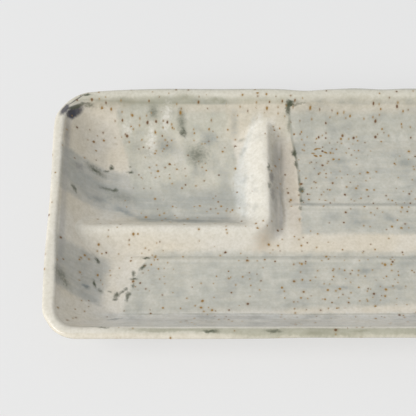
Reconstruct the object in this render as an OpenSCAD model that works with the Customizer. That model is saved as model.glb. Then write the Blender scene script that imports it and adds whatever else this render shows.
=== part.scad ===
// Stoneware dumpling plate: a shallow tray with a sauce well behind an L-shaped ridge.
// Millimetres, +Z up. The origin is on the table, under the middle of the plate.
// +X runs along the plate and -Y is the edge nearest the diner.

/* [Plate] */
// Length over the rim
plate_l = 240; // [210:1:300]
// Depth over the rim, front to back
plate_d = 140; // [130:1:180]
// Height from the table to the top of the rim
plate_h = 26.5; // [22:0.5:32]
// Corner radius of the rim in plan
rim_corner_r = 17; // [13:0.5:24]

/* [Wall] */
// Width of the rolled lip at the two ends
lip_w = 4.9; // [3.5:0.1:6]
// Width of the rolled lip at the front and back
side_lip_w = 6.5; // [5:0.1:8]
// Height of the rounded top of the lip
lip_h = 2.2; // [1:0.1:2.8]
// Run of the inner wall at the two ends, from the lip to the floor
end_run = 21.5; // [16:0.5:28]
// Run of the inner wall at the front and back, from the lip to the floor
side_run = 14.5; // [11:0.5:18]
// How hollow the inner wall is, where 1 is a straight slope
wall_hollow = 1.45; // [1.05:0.05:1.7]
// Thickness of the wall where it stands on the slab, measured level
wall_foot_t = 8; // [6:0.5:10]
// How hollow the outer wall is, where 1 is a straight slope
wall_flare = 1.1; // [1:0.05:1.3]

/* [Floor] */
// Thickness of the floor slab
floor_t = 5; // [4:0.25:7]
// Corner radius of the floor in plan
floor_corner_r = 9; // [6:0.5:12]
// How far the edge of the slab draws in from its top to its underside
slab_draw = 8; // [5:0.5:10]
// How full the curve of the edge of the slab is
slab_round = 1.3; // [1.1:0.1:2]

/* [Sauce well] */
// From the left end of the rim to the crest of the short arm
well_l = 107.5; // [90:0.5:130]
// From the back of the rim to the crest of the long arm
well_d = 76; // [66:0.5:84]
// Height of the crest above the floor
crest_h = 7; // [5:0.25:10]
// How much of a slope of the ridge is rounded over at the crest
crest_round = 0.25; // [0.15:0.05:0.4]
// How much of a slope of the ridge is rounded out at the foot
foot_round = 0.45; // [0.2:0.05:0.5]
// Corner radius of the crest in plan
crest_corner_r = 8; // [6:0.5:12]
// Corner radius at the foot of the outer slope in plan
heel_corner_r = 20; // [14:0.5:24]
// Run of the slope from the long arm to the dumpling side
front_slope = 12; // [9:0.5:14]
// Run of the slope from the short arm to the dumpling side
right_slope = 8.5; // [6:0.5:12]
// Run of the slope from the long arm into the well
well_front_slope = 11; // [8:0.5:14]
// Run of the slope from the short arm into the well
well_right_slope = 16; // [10:0.5:18]
// Length over which each end of the ridge is smoothed into the wall
join_l = 10; // [6:0.5:14]
// How far the foot of the ridge spreads along the wall at each end
join_spread = 7; // [3:0.5:9]
// How far the crest climbs the wall at each end
join_rise = 0.75; // [0.5:0.25:3]

/* [Ribs] */
// Width of a rib
rib_w = 4; // [3:0.1:6]
// Height of a rib above the floor
rib_h = 0.8; // [0.5:0.1:1.5]
// From the front rib to the back rib
rib_pitch = 30.5; // [26:0.5:36]
// Bare floor between the ridge and a rib
rib_gap = 1.5; // [0.5:0.1:2.5]
// Bare floor between the end of a rib and the wall
rib_end_gap = 4; // [2:0.5:8]

/* [Foot] */
// Height of the foot ring
foot_h = 3; // [2:0.25:5]
// Width of the foot ring where it joins the slab
foot_w = 6; // [4:0.25:8]
// Bevel at both edges of the sole
foot_bevel = 0.8; // [0.4:0.1:1.2]
// From the edge of the slab's underside in to the foot ring
foot_set_in = 2.5; // [1:0.25:4]
// Corner radius of the outside of the foot ring
foot_corner_r = 11; // [9:0.5:16]

/* [Hidden] */

// Film of slip in the joint between the ridge and the wall
slip_film = 0.05;

// Facets: steps round a quarter turn in plan, up a wall, over the lip, down the edge of the slab,
// down one slope of the ridge and along its join to the wall
corner_steps = 12;
wall_steps = 10;
lip_steps = 10;
edge_steps = 5;
slope_steps = 9;
join_steps = 5;

// The lip is flatter than an ellipse: the power of its curve
lip_square = 2.8;

// Levels
floor_z = foot_h + floor_t;
lip_z = plate_h - lip_h;
wall_h = lip_z - floor_z;

// Insets of the outline at the ends and at the long sides: foot of the inner wall, then of the outer wall
floor_end = lip_w + end_run;
floor_side = side_lip_w + side_run;
outer_end = floor_end - wall_foot_t;
outer_side = floor_side - wall_foot_t;
slab_corner_r = floor_corner_r + wall_foot_t / 2;

// Corner radius along the inner edge of the lip
lip_corner_r = rim_corner_r - (lip_w + side_lip_w) / 2;

// Half the length of the floor inside the wall
floor_half_l = plate_l / 2 - floor_end;

// Crest lines of the ridge, the lines of the ribs and the start of the back rib
short_x = well_l - plate_l / 2;
long_y = plate_d / 2 - well_d;
front_rib_y = long_y - front_slope - rib_gap - rib_w / 2;
back_rib_y = front_rib_y + rib_pitch;
back_rib_x = short_x + right_slope + rib_gap;

clay = [0.86, 0.83, 0.77];
grey_slip = [0.72, 0.73, 0.70];
raw_clay = [0.72, 0.62, 0.50];

// One ring of points round a rounded rectangle. spec is end inset, side inset, corner radius, height
function ring(spec) =
    let (half_l = plate_l / 2 - spec[0], half_d = plate_d / 2 - spec[1], r = spec[2])
    [for (corner = [0:3], i = [0:corner_steps])
        let (a = 90 * (corner + i / corner_steps),
             sx = corner == 0 || corner == 3 ? 1 : -1,
             sy = corner < 2 ? 1 : -1)
        [sx * (half_l - r) + r * cos(a), sy * (half_d - r) + r * sin(a), spec[3]]];

// Two triangles for four corners
function quad(a, b, c, d) = [[a, b, c], [a, c, d]];

// Faces of so many bands, each from one ring of n points to the next, where the last ring may meet the first
function band_faces(n, bands, rings) =
    [for (k = [0:bands - 1], i = [0:n - 1])
        let (next = (k + 1) % rings, j = (i + 1) % n)
        each quad(k * n + i, k * n + j, next * n + j, next * n + i)];

// Part of the inner wall's run that is climbed at height h above the floor
function climbed(h) = pow(h / wall_h, 1 / wall_hollow);

// Insets of the inner wall's face at height h above the floor
function wall_end_inset(h) = lip_w + end_run * (1 - climbed(h));
function wall_side_inset(h) = side_lip_w + side_run * (1 - climbed(h));

// The power curve that squares off the lip
function squared(c) = sign(c) * pow(abs(c), 2 / lip_square);

inner_wall = [for (k = [0:wall_steps - 1])
    let (t = k / wall_steps, h = wall_h * pow(t, wall_hollow))
    [wall_end_inset(h), wall_side_inset(h),
     floor_corner_r + (lip_corner_r - floor_corner_r) * t, floor_z + h]];

lip = [for (k = [0:lip_steps])
    let (a = 180 * k / lip_steps, part = (1 + squared(cos(a))) / 2)
    [lip_w * part, side_lip_w * part,
     rim_corner_r + (lip_corner_r - rim_corner_r) * part, lip_z + lip_h * squared(sin(a))]];

outer_wall = [for (k = [1:wall_steps])
    let (t = 1 - k / wall_steps, h = wall_h * pow(t, wall_flare))
    [outer_end * (1 - t), outer_side * (1 - t),
     slab_corner_r + (rim_corner_r - slab_corner_r) * t, floor_z + h]];

slab_edge = [for (k = [0:edge_steps])
    let (w = k / edge_steps)
    [outer_end + slab_draw * w, outer_side + slab_draw * w, slab_corner_r,
     foot_h + floor_t * pow(1 - w, slab_round)]];

// Flared wall with its rolled lip: rings go up the inside, over the lip and down the outside
module wall_band() {
    specs = concat(inner_wall, lip, outer_wall);
    points = [for (spec = specs) each ring(spec)];
    n = len(ring(specs[0]));
    color(clay)
        polyhedron(points, band_faces(n, len(specs), len(specs)));
}

// Slab with a drawn-in edge: rings go down from its top face to its underside
module floor_slab() {
    points = [for (spec = slab_edge) each ring(spec)];
    n = len(ring(slab_edge[0]));
    top = [for (i = [1:n - 2]) [0, i + 1, i]];
    under = edge_steps * n;
    bottom = [for (i = [1:n - 2]) [under, under + i, under + i + 1]];
    color(grey_slip)
        polyhedron(points, concat(top, band_faces(n, edge_steps, len(slab_edge)), bottom));
}

// Height of the ridge's section at slope place v as a part of the crest's: a parabola over the crest,
// a straight slope and a parabola out to the foot
function slope_part(v) =
    let (u = abs(v), steep = 1 / (1 - (crest_round + foot_round) / 2))
    u < crest_round ? 1 - steep * u * u / (2 * crest_round)
    : u > 1 - foot_round ? steep * pow(1 - u, 2) / (2 * foot_round)
    : 1 - steep * (u - crest_round / 2);

// One level line of the ridge from the left wall round to the back wall, at slope place v.
// v runs from -1 at the outer foot, through 0 at the crest, to 1 at the foot in the well.
// Near a wall the line climbs and turns outwards along a quarter ellipse; w is 1 on the wall
function ridge_line(v) =
    let (h = crest_h * slope_part(v),
         rise = join_rise * slope_part(v),
         outer = v < 0,
         x = short_x - v * (outer ? right_slope : well_right_slope),
         y = long_y + v * (outer ? front_slope : well_front_slope),
         r = crest_corner_r - (outer ? v * (heel_corner_r - crest_corner_r) : 0),
         left = wall_end_inset(h + rise) + slip_film - plate_l / 2,
         back = plate_d / 2 - wall_side_inset(h + rise) - slip_film)
    concat([for (k = [join_steps:-1:1])
               let (w = k / join_steps)
               [left + join_l * (1 - w), y + v * spread(w), floor_z + h + rise * w * w]],
           [for (i = [0:corner_steps])
               let (a = 90 * (i / corner_steps - 1))
               [x - r + r * cos(a), y + r + r * sin(a), floor_z + h]],
           [for (k = [1:join_steps])
               let (w = k / join_steps)
               [x - v * spread(w), back - join_l * (1 - w), floor_z + h + rise * w * w]]);

// How far the foot of the ridge has spread where w of the way to the wall is done
function spread(w) = join_spread * (1 - sqrt(1 - w * w));

// L-shaped ridge: one section carried round the bend, its ends cut to the wall's own curve
module sauce_divider() {
    lines = [for (k = [-slope_steps:slope_steps]) ridge_line(k / slope_steps)];
    points = [for (line = lines) each line];
    n = len(lines[0]);
    last = 2 * slope_steps;
    back = n - 1;
    top = [for (k = [0:last - 1], i = [0:n - 2])
        each quad(k * n + i, (k + 1) * n + i, (k + 1) * n + i + 1, k * n + i + 1)];
    bottom = [for (i = [0:n - 2])
        each quad(i, i + 1, last * n + i + 1, last * n + i)];
    ends = [for (k = [0:slope_steps - 2], i = [0, back])
        let (a = k * n + i, b = (k + 1) * n + i, c = (last - k - 1) * n + i, d = (last - k) * n + i)
        each i == 0 ? quad(d, c, b, a) : quad(a, b, c, d)];
    crest = slope_steps * n;
    tips = [[crest + n, crest, crest - n],
            [crest - n + back, crest + back, crest + n + back]];
    color(clay)
        polyhedron(points, concat(top, bottom, ends, tips));
}

// Low rib along X with domed ends: a buried round bar of which only the back shows above the floor
module rib(x_from, x_to, y) {
    bar_r = (pow(rib_w / 2, 2) + pow(rib_h, 2)) / (2 * rib_h);
    bar_l = x_to - x_from - rib_w;
    intersection() {
        translate([x_from + rib_w / 2, y, floor_z + rib_h - bar_r])
            union() {
                rotate([0, 90, 0])
                    cylinder(r = bar_r, h = bar_l);
                for (x = [0, bar_l])
                    translate([x, 0, 0])
                        sphere(r = bar_r);
            }
        translate([x_from - rib_w, y - rib_w, floor_z])
            cube([x_to - x_from + 2 * rib_w, 2 * rib_w, bar_r]);
    }
}

module front_rib() {
    color(clay)
        rib(join_l + rib_gap - floor_half_l, floor_half_l - rib_end_gap, front_rib_y);
}

module back_rib() {
    color(clay)
        rib(back_rib_x, floor_half_l - rib_end_gap, back_rib_y);
}

// Section of the foot ring, from its outer face inwards, with both edges of the sole bevelled
module foot_section() {
    polygon([[0, foot_h], [0, foot_bevel], [-foot_bevel, 0],
             [foot_bevel - foot_w, 0], [-foot_w, foot_bevel], [-foot_w, foot_h]]);
}

// Foot ring: the section run along the four sides and turned round the four corners
module foot_ring() {
    half_l = plate_l / 2 - outer_end - slab_draw - foot_set_in;
    half_d = plate_d / 2 - outer_side - slab_draw - foot_set_in;
    side_l = 2 * (half_l - foot_corner_r);
    side_d = 2 * (half_d - foot_corner_r);
    color(raw_clay)
        for (turn = [0:3]) {
            along = turn % 2 == 0 ? side_d : side_l;
            out = turn % 2 == 0 ? half_l : half_d;
            rotate([0, 0, 90 * turn]) {
                translate([out, along / 2, 0])
                    rotate([90, 0, 0])
                        linear_extrude(along)
                            foot_section();
                translate([out - foot_corner_r, along / 2, 0])
                    rotate_extrude(angle = 90)
                        translate([foot_corner_r, 0])
                            foot_section();
            }
        }
}

floor_slab();
wall_band();
sauce_divider();
front_rib();
back_rib();
foot_ring();
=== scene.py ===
import math
from typing import NamedTuple

import bpy
import numpy as np
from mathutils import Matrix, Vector


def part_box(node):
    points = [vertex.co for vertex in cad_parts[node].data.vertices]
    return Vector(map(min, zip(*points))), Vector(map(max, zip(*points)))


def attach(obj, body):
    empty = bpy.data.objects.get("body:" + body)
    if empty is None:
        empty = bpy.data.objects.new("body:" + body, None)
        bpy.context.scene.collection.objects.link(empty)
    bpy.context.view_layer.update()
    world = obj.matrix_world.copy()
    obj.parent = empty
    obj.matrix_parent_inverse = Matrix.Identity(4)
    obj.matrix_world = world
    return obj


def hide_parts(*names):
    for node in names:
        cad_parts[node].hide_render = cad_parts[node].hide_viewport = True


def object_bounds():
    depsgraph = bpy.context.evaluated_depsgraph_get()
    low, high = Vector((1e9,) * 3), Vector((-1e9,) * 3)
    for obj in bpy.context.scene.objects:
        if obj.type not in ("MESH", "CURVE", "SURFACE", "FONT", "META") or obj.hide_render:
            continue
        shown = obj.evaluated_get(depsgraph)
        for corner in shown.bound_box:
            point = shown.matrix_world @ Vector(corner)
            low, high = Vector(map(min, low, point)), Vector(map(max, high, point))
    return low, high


bl_info = {
    "name": "Dumpling Plate",
    "version": (1, 0, 0),
    "blender": (4, 5, 0),
    "location": "View3D > Sidebar > Plate",
    "description": "Dresses the dumpling plate's frame in thrown forms and brushed glaze",
    "category": "Object",
}

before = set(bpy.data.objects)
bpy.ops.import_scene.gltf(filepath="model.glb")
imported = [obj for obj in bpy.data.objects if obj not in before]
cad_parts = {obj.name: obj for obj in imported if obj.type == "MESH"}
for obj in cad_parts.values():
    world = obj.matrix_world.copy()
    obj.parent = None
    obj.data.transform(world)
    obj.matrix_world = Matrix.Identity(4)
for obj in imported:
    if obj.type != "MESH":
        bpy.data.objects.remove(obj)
CAD_LOW, CAD_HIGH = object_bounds()
WALL_LOW, WALL_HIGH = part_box("wall_band")
SLAB_LOW, SLAB_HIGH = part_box("floor_slab")
FOOT_LOW, FOOT_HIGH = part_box("foot_ring")
RIDGE_LOW, RIDGE_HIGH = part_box("sauce_divider")
MM = 0.001
PLATE_BODY = "root"
QUARTER = np.pi / 2.0
NO_TRIANGLES = np.empty((0, 3), int)


def srgb(red, green, blue):
    """Linear colour of an 8-bit screen colour, by the sRGB curve without its short straight foot."""
    return tuple(((value / 255 + 0.055) / 1.055) ** 2.4 for value in (red, green, blue))


def length(name, description, default):
    """A length property in metres."""
    return bpy.props.FloatProperty(
        name=name, description=description, default=default, min=0.0, unit="LENGTH", subtype="DISTANCE"
    )


def tint(name, description, default):
    """A colour property in linear values."""
    return bpy.props.FloatVectorProperty(
        name=name, description=description, default=default, size=3, min=0.0, max=1.0, subtype="COLOR"
    )


class PlateSizes(bpy.types.PropertyGroup):
    """Sizes of the thrown forms. The outer sizes come from the frame."""

    lip_w: length("End lip width", "Width of the rolled lip at the two ends", 4.9 * MM)
    side_lip_w: length("Side lip width", "Width of the rolled lip at the front and back", 6.5 * MM)
    lip_h: length("Lip height", "Height of the lip's roll above the wall", 2.2 * MM)
    lip_corner: length("Rim corner", "Corner radius of the rim's outline", 17.0 * MM)
    end_run: length("End wall run", "How far an end wall leans out inside", 21.5 * MM)
    side_run: length("Side wall run", "How far a side wall leans out inside", 14.5 * MM)
    floor_corner: length("Floor corner", "Corner radius of the floor inside the wall", 9.0 * MM)
    slab_corner: length("Slab corner", "Corner radius of the slab's outline", 13.0 * MM)
    slab_draw: length("Slab draw", "How far the slab's edge draws in to the underside", 8.0 * MM)
    ridge_front: length("Ridge front slope", "Run of the ridge's outer slope on its long arm", 12.0 * MM)
    ridge_right: length("Ridge right slope", "Run of the ridge's outer slope on its short arm", 8.5 * MM)
    well_front: length("Well front slope", "Run of the well's slope under the long arm", 11.0 * MM)
    well_right: length("Well right slope", "Run of the well's slope under the short arm", 16.0 * MM)
    crest_corner: length("Crest corner", "Radius of the ridge's bend along its crest", 8.0 * MM)
    heel_corner: length("Heel corner", "Radius of the ridge's bend along its outer foot", 20.0 * MM)
    join_l: length("Join length", "Length over which the ridge rises into the wall", 10.0 * MM)
    join_spread: length("Join spread", "How far the ridge's foot spreads at the wall", 7.0 * MM)
    join_rise: length("Join rise", "How far the crest climbs at the wall", 0.75 * MM)
    hand_wave: length("Hand wave", "Height of the floor's slow unevenness", 0.22 * MM)
    rim_wave: length("Rim wave", "How far the rim wanders from its line", 0.65 * MM)
    lip_growth: length("Lip growth", "How far the left lip widens at its front", 1.5 * MM)
    dimple_depth: length("Dimple depth", "Depth of the finger dimples in the well", 0.25 * MM)


class GlazeColours(bpy.types.PropertyGroup):
    """Colours of the fired surface."""

    cream: tint("Cream", "Clear glaze over the pale clay", srgb(228, 223, 213))
    cream_warm: tint("Warm cream", "Where the glaze is thin over the clay", srgb(226, 217, 200))
    # lip is also the painted highlight on the crests of the ribs and the ridge
    lip: tint("Lip", "The lip, where the glaze breaks", srgb(231, 226, 214))
    slip_grey: tint("Grey slip", "The brushed strokes", srgb(192, 192, 183))
    sage: tint("Sage slip", "Thin slip down the well's back slope", srgb(200, 199, 186))
    # frost is a painted highlight: the pale bluish reflection beside the white on the short arm's left
    # slope
    frost: tint("Frost", "Thin white slip over grey", srgb(223, 224, 220))
    # white is painted light: the lamp's reflection on the short arm's left slope, glints in the well, the
    # front lip's inner edge, the long arm's crest and the top of the short arm's right slope
    white: tint("White slip", "Thick white slip on the short arm, and pale streaks", srgb(234, 231, 223))
    slip_deep: tint("Deep slip", "Where a stroke is thick", srgb(170, 172, 168))
    # lilac also carries painted shade: on the short arm's right slope, together with real streaks, and
    # under the end lips
    lilac: tint("Lilac grey", "Streaks on the walls and slopes", srgb(172, 169, 167))
    mist: tint("Mist", "Pale streaks along the front wall", srgb(222, 222, 219))
    olive: tint("Olive", "Thin slip over the lip and the back wall", srgb(186, 185, 165))
    moss: tint("Moss", "Thick slip in the lip's inner edge and in fine lines", srgb(150, 149, 128))
    bead: tint("Bead", "Dark green slip left in dabs and where a stroke starts", srgb(78, 84, 64))
    ink: tint("Blue black", "Slip caught in the corner and in short marks", srgb(62, 62, 74))
    # pool is also painted shade: on the long arm's slope that faces the well and, through the film, on the
    # ribs' back slopes
    pool: tint("Pool", "Glaze gathered at the foot of a slope, and soft smudges", srgb(120, 129, 131))
    iron: tint("Iron", "Dark iron speckles", srgb(98, 58, 14))
    rust: tint("Rust", "Light iron speckles and warm lines", srgb(150, 112, 34))
    # clay also tones the warm painted shadow at the ridge's heel
    clay: tint("Clay", "The bare foot, and clay that shows through thin glaze", srgb(206, 186, 158))


CREST_ROUND = 0.25
FOOT_ROUND = 0.45

# unevenness of hand work: spans, pitches and places in millimetres, phases in radians
FLOOR_WAVES = (
    # share of the height, then pitch and phase along X and along Y
    (1.0, (97.0, 0.8), (83.0, 0.3 + QUARTER)),
    (0.45, (41.0, 1.1), (37.0, 0.4)),
)
DIMPLES_X = ((-92.0, -74.0), (-44.0, -30.0))
DIMPLES_Y = ((22.0, 42.0), (56.0, 64.0))
DIMPLE_PITCH = 11.5
DIMPLE_BEND = 1.6
DIMPLE_BEND_PITCH = (47.0, 31.0)
DIMPLE_BEND_PHASES = (0.0, 0.7)
DIMPLE_FADE = 0.35
DIMPLE_FADE_PITCH = (29.0, 17.0)
RIM_FOOT = 15.0 * MM
LEFT_LIP_X = ((-119.5, -116.5), (-112.0, -100.0))
LEFT_LIP_Y = ((-67.0, -55.0), (55.0, 67.0))
LEFT_LIP_FRONT = (-36.0, -6.0)
LEFT_LIP_BACK = (4.0, 36.0)
LEFT_LIP_BACK_SHARE = 0.4
BACK_HALF = (-20.0, 20.0)
RIPPLE_X = (17.0, 29.0)
RIPPLE_WAVE = (28.0, QUARTER - 1.2)
DIP_X = 8.2
DIP_REACH = 10.5
FALL_X = (-124.0, -58.0)
NARROW_X = (-40.0, 10.0)
NARROW_FRONT = (64.5, 69.0)
CORNER_REACH = 18.0
END_WAVE = (83.0, 0.6)

# how far each moves the rim, as shares of the rim wave
END_SHARE = 0.5
RIPPLE_SHARE = 0.45
DIP_SHARE = 2.0
FALL_SHARE = 3.2
CORNER_SHARES = (2.0, 2.4)


def smooth(value, low, high):
    """0 below low, 1 above high, and the cubic 3t^2 - 2t^3 between."""
    t = np.clip((value - low) / (high - low), 0.0, 1.0)
    return t * t * (3.0 - 2.0 * t)


def window(value, rise, fall):
    """A soft step up over the first span times a soft step down over the second."""
    return smooth(value, *rise) * (1.0 - smooth(value, *fall))


def wave(place, pitch, phase):
    """A sine along the plate, by its pitch and its phase at the middle of the plate."""
    return np.sin(2.0 * np.pi * place / pitch + phase)


def bell(v):
    """Half a cosine wave and its mirror: 1 at v = 0 and 0 at v = -1 and 1."""
    return (1.0 + np.cos(np.pi * v)) / 2.0


def swelling(v, middle, half):
    """A bell with its own middle and half width, and 0 beyond it."""
    return bell(np.clip((v - middle) / half, -1.0, 1.0))


def slope_height(v):
    """Height of a ridge as a part of its crest's, from its outer foot (-1) to its inner foot (1).

    The slope steepens over the first part from the crest (0), runs straight and flattens over the last part
    to the foot, so the height is a parabola, a straight line and a parabola.
    """
    u = np.minimum(np.abs(v), 1.0)
    steep = 1.0 / (1.0 - (CREST_ROUND + FOOT_ROUND) / 2.0)
    over = steep * u**2 / (2.0 * CREST_ROUND)
    straight = steep * (u - CREST_ROUND / 2.0)
    out = 1.0 - steep * (1.0 - u) ** 2 / (2.0 * FOOT_ROUND)
    fall = np.where(u < CREST_ROUND, over, np.where(u > 1.0 - FOOT_ROUND, out, straight))
    return 1.0 - fall


def floor_wave(x, y):
    """The floor's slow rise and fall: two products of a sine along X and a sine along Y."""
    return sum(share * wave(x, *along) * wave(y, *across) for share, along, across in FLOOR_WAVES)


def dimples(x, y):
    """Finger marks on the well's back slope: a sine along X, bent and faded by slower ones, in a window."""
    bends = zip((x, y), DIMPLE_BEND_PITCH, DIMPLE_BEND_PHASES)
    along, across = (wave(*bend) for bend in bends)
    bend = along + DIMPLE_BEND * across
    lean = 2.0 * np.pi * x / DIMPLE_FADE_PITCH[0]
    depth = 1.0 - DIMPLE_FADE + DIMPLE_FADE * wave(y, DIMPLE_FADE_PITCH[1], lean)
    return window(x, *DIMPLES_X) * window(y, *DIMPLES_Y) * depth * wave(x, DIMPLE_PITCH, bend)


def lip_growth(x, y):
    """Where the left lip's inner edge moves in: at its front and, less so, at its back, by soft steps."""
    along = 1.0 - smooth(y, *LEFT_LIP_FRONT) + LEFT_LIP_BACK_SHARE * smooth(y, *LEFT_LIP_BACK)
    return along * window(x, *LEFT_LIP_X) * window(y, *LEFT_LIP_Y)


def rim_shift(x, y):
    """How far the rim wanders along X and along Y, as shares of the rim wave.

    The end rims wander by a slow sine. The back rim has one dip and is pulled in at its left corner, both
    as Gaussian bells, falls away to that corner by a soft step and ripples by a sine to the right. The
    front lip grows narrower to the right by soft steps.
    """
    back = smooth(y, *BACK_HALF)
    ripple = back * smooth(x, *RIPPLE_X) * wave(x, *RIPPLE_WAVE)
    dip = back * np.exp(-(((x - DIP_X) / DIP_REACH) ** 2))
    fall = back * (1.0 - smooth(x, *FALL_X))
    narrow = smooth(x, *NARROW_X) * smooth(-y, *NARROW_FRONT)
    from_corner = (x - CAD_LOW[0] / MM) ** 2 + (y - CAD_HIGH[1] / MM) ** 2
    corner = np.exp(-from_corner / CORNER_REACH**2)
    along = END_SHARE * wave(y, *END_WAVE) + CORNER_SHARES[0] * corner
    across = RIPPLE_SHARE * ripple + narrow - DIP_SHARE * dip - FALL_SHARE * fall
    return along, across - CORNER_SHARES[1] * corner


def hand_made(points, sizes):
    """Moves points as a potter's hand leaves them.

    The floor's wave fades out to the slab's underside and the rim's shifts fade out down the wall, both by
    a soft step in height. The dimples press through the slab.
    """
    x, y, z = points[..., 0] / MM, points[..., 1] / MM, points[..., 2]
    lift = smooth(z, SLAB_LOW[2], SLAB_HIGH[2])
    rim = smooth(z, RIM_FOOT, WALL_HIGH[2])
    along, across = rim_shift(x, y)
    moved = points.copy()
    moved[..., 0] += rim * (sizes.lip_growth * lip_growth(x, y) + sizes.rim_wave * along)
    moved[..., 1] += rim * sizes.rim_wave * across
    moved[..., 2] += lift * sizes.hand_wave * floor_wave(x, y) - sizes.dimple_depth * dimples(x, y)
    return moved


def outline(half_l, half_d, radius, z):
    """Level lines round a rounded rectangle, one row for each entry of the four arrays.

    A point is its corner's centre plus the radius times the outward direction. Corners turn through a
    quarter circle, and along a straight side the centre glides from one corner to the next.
    """
    arc, long_side, short_side = 20, 140, 84
    signs = ((1, 1), (-1, 1), (-1, -1), (1, -1))
    centre_x, centre_y, angle = [], [], []
    for corner, (sx, sy) in enumerate(signs):
        nx, ny = signs[(corner + 1) % 4]
        steps = np.linspace(0.0, 1.0, (long_side, short_side)[corner % 2] + 2)[1:-1]
        centre_x += [np.full(arc, float(sx)), sx + (nx - sx) * steps]
        centre_y += [np.full(arc, float(sy)), sy + (ny - sy) * steps]
        turn = np.linspace(corner, corner + 1, arc)
        angle += [turn, np.full(len(steps), corner + 1.0)]
    centre_x, centre_y = np.concatenate(centre_x), np.concatenate(centre_y)
    angle = np.concatenate(angle) * QUARTER
    half_l, half_d, radius, z = (np.asarray(a, float)[:, None] for a in (half_l, half_d, radius, z))
    x = centre_x * (half_l - radius) + radius * np.cos(angle)
    y = centre_y * (half_d - radius) + radius * np.sin(angle)
    return np.stack([x, y, np.broadcast_to(z, x.shape)], axis=-1)


def grid_faces(rows, columns, close_rows, close_columns):
    """Four corners of every cell of a grid of points that is numbered row by row."""
    r = np.arange(rows if close_rows else rows - 1)[:, None]
    c = np.arange(columns if close_columns else columns - 1)[None, :]
    up, on = (r + 1) % rows, (c + 1) % columns
    cells = [r * columns + c, up * columns + c, up * columns + on, r * columns + on]
    return np.stack(np.broadcast_arrays(*cells), axis=-1).reshape(-1, 4)


def tube_faces(rows, columns):
    """Faces of a tube of level lines. At its two ends, line k is joined to its mate from the other side."""
    k = np.arange(rows // 2 - 1)
    mates = np.stack([k, k + 1, rows - 2 - k, rows - 1 - k], axis=-1)
    caps = [mates * columns, mates[:, ::-1] * columns + columns - 1]
    return np.concatenate([grid_faces(rows, columns, True, False), *caps])


def skirted(v, lines):
    """Adds a buried line under the first level line and one under the last, and repeats v for them."""
    skirt = lines[[0, -1]] - np.array([0.0, 0.0, BURIED])
    return np.concatenate([v[:1], v, v[-1:]]), np.concatenate([skirt[:1], lines, skirt[1:]])


def fan(ring, centre):
    """Triangles from a closed ring of point numbers to one centre point."""
    return np.stack([ring, np.roll(ring, -1), np.full(len(ring), centre)], axis=-1)


def faces_out(points, faces):
    """Whether the volume that the faces enclose, as a sum of wedges to the origin, is positive."""
    corners = [points[faces[:, k]] for k in (0, 1, 2, -1)]
    wedges = np.einsum("ij,ij->i", corners[0], np.cross(corners[1], corners[2])).sum()
    wedges += np.einsum("ij,ij->i", corners[0], np.cross(corners[2], corners[3])).sum()
    return wedges >= 0.0


def new_piece(name, node, points, quads, triangles, glaze, outer, columns, seams):
    """Makes one piece from a grid's points and faces, hides the node it stands for and gives it the body.

    glaze is -1 where the film is thin and 1 where it gathers; it also carries a painted highlight on the
    crests of the ribs and the ridge, and painted shade on the ribs' back slopes. outer is 1 on faces that
    look away from the food. seams are the rows of the grid where the surface dives under another piece, and
    keep a sharp edge.
    """
    if not faces_out(points, quads):
        quads, triangles = quads[:, ::-1], triangles[:, ::-1]
    mesh = bpy.data.meshes.new(name)
    mesh.from_pydata(points.tolist(), [], quads.tolist() + triangles.tolist())
    mesh.validate()
    mesh.polygons.foreach_set("use_smooth", np.ones(len(mesh.polygons), bool))
    for label, values in (("glaze_film_and_painted_light", glaze), ("outer_face", outer)):
        layer = mesh.attributes.new(label, "FLOAT", "POINT")
        layer.data.foreach_set("value", np.asarray(values, np.float32).ravel())
    ends = np.empty(2 * len(mesh.edges), np.int32)
    mesh.edges.foreach_get("vertices", ends)
    row = ends.reshape(-1, 2) // columns
    sharp = mesh.attributes.new("sharp_edge", "BOOLEAN", "EDGE")
    sharp.data.foreach_set("value", (row[:, 0] == row[:, 1]) & np.isin(row[:, 0], seams))
    mesh.update()
    piece = bpy.data.objects.new(name, mesh)
    bpy.context.scene.collection.objects.link(piece)
    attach(piece, PLATE_BODY)
    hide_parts(node)
    return piece


# powers and shares of the sections
WALL_HOLLOW = 1.45
WALL_FLARE = 1.1
LIP_SQUARE = 2.8
LIP_INNER = 2.6
LIP_FALL = 2.4
JOIN_ROUND = 0.45
SLAB_ROUND = 1.3
RIB_ROUND = 0.8
OUTER_FROM = 0.1

# depths to which an edge is sunk in the piece beside it, and where the sunk stretches start and end
BURIED = 0.4 * MM
RIDGE_SUNK = 0.07 * MM
RIDGE_SUNK_SPAN = (0.75, 1.15)
RIB_SUNK = 0.15 * MM
RIB_SUNK_TAPER = 0.35

# numbers of level lines, and of steps along them
INNER_LINES = 34
INNER_CROWD = 1.15
LIP_LINES = 12
OUTER_LINES = 22
TOP_LINES = 76
EDGE_LINES = 10
UNDER_LINES = 14
SLAB_EYE = 0.02
RIDGE_LINES = 58
JOIN_STEPS = 28
LONG_ARM_STEPS = 60
SHORT_ARM_STEPS = 34
BEND_STEPS = 25
RIB_LINES = 26
RIB_STEPS = 160
FOOT_EDGE_LINES = 7
SOLE_LINES = 3

# where the swell of the lip's inner half dies out, from the middle of an end to its corners
SWELL_END = (46.0 * MM, 64.0 * MM)
# how far a level line of the ridge runs on into the wall, in lengths of the join
JOIN_REACH = 1.42
# thinning of the film on the ridge's crest, partly thin glaze and partly a painted highlight
RIDGE_THIN_AND_HIGHLIGHT = 0.75
# slopes of a rib in half widths of its solid, and the run of its ends
RIB_FRONT = 1.3
RIB_BACK = 1.5
RIB_TAPER = (-1.0 * MM, 7.0 * MM)
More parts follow.
